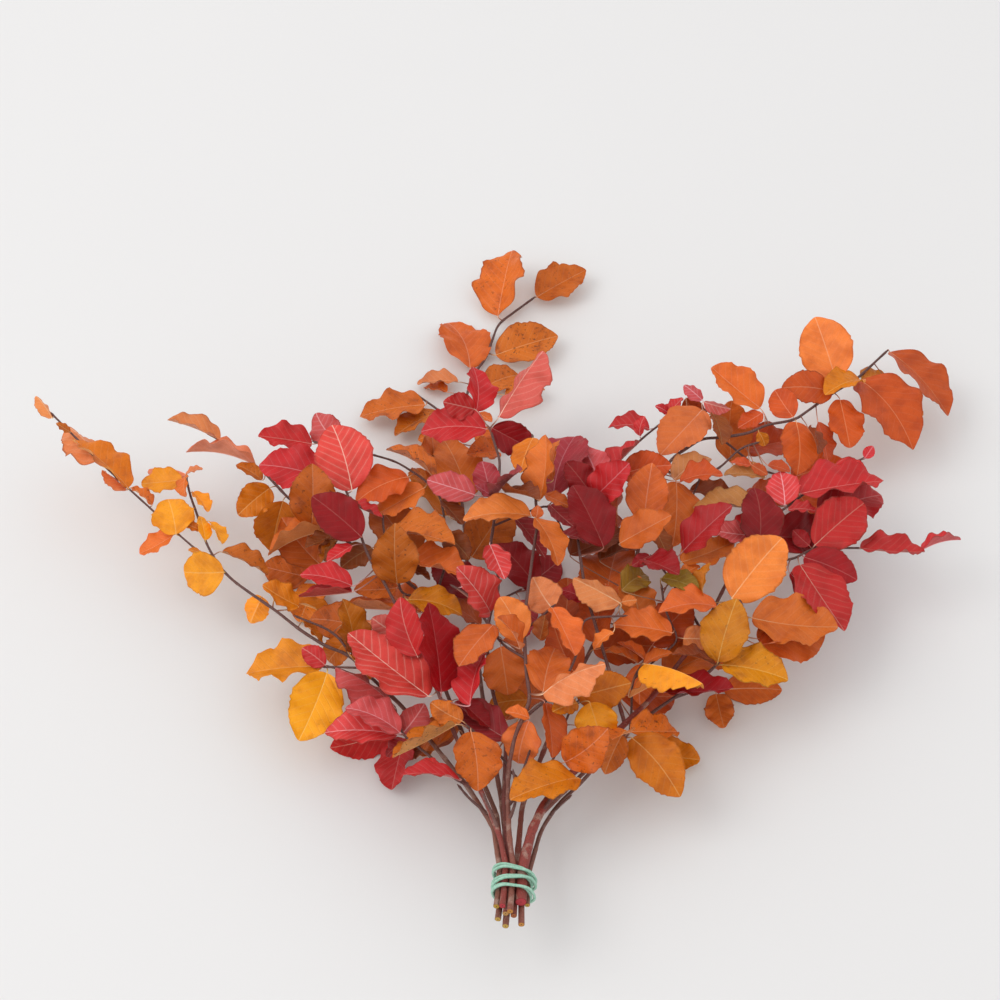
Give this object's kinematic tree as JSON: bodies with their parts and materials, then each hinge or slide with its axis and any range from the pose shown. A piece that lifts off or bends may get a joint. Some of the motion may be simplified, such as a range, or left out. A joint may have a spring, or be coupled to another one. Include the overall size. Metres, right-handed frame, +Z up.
{
  "type": "bunch of autumn beech branches",
  "caption": "Tied bunch of preserved autumn beech branches with crimson, orange and amber leaves, lying down.",
  "frame": {"origin": "centre of the bunch's bounding box in plan, on the surface it lies on", "axes": "+Z up, -Y towards the cut stem ends, +X to the right as seen from the cut ends"},
  "size_m": [0.8807, 0.8168, 0.145],
  "materials": {
    "crimson_leaf": "satin",
    "crimson_leaf_centre": "satin",
    "crimson_leaf_right": "satin",
    "orange_leaf_left": "satin",
    "orange_leaf_centre": "satin",
    "orange_leaf_top_right": "satin",
    "orange_leaf_right": "satin",
    "amber_leaf_left": "satin",
    "amber_leaf_top": "satin",
    "amber_leaf_front": "satin",
    "mint_rubber": "satin"
  },
  "bodies": {
    "root": {"red_left_branch": "crimson_leaf", "red_centre_branch": "crimson_leaf_centre", "red_right_branch": "crimson_leaf_right", "orange_left_branch": "orange_leaf_left", "orange_centre_branch": "orange_leaf_centre", "orange_top_right_branch": "orange_leaf_top_right", "orange_right_branch": "orange_leaf_right", "amber_left_branch": "amber_leaf_left", "amber_top_branch": "amber_leaf_top", "amber_front_branch": "amber_leaf_front", "upper_band": "mint_rubber", "middle_band": "mint_rubber", "lower_band": "mint_rubber"}
  },
  "joints": []
}
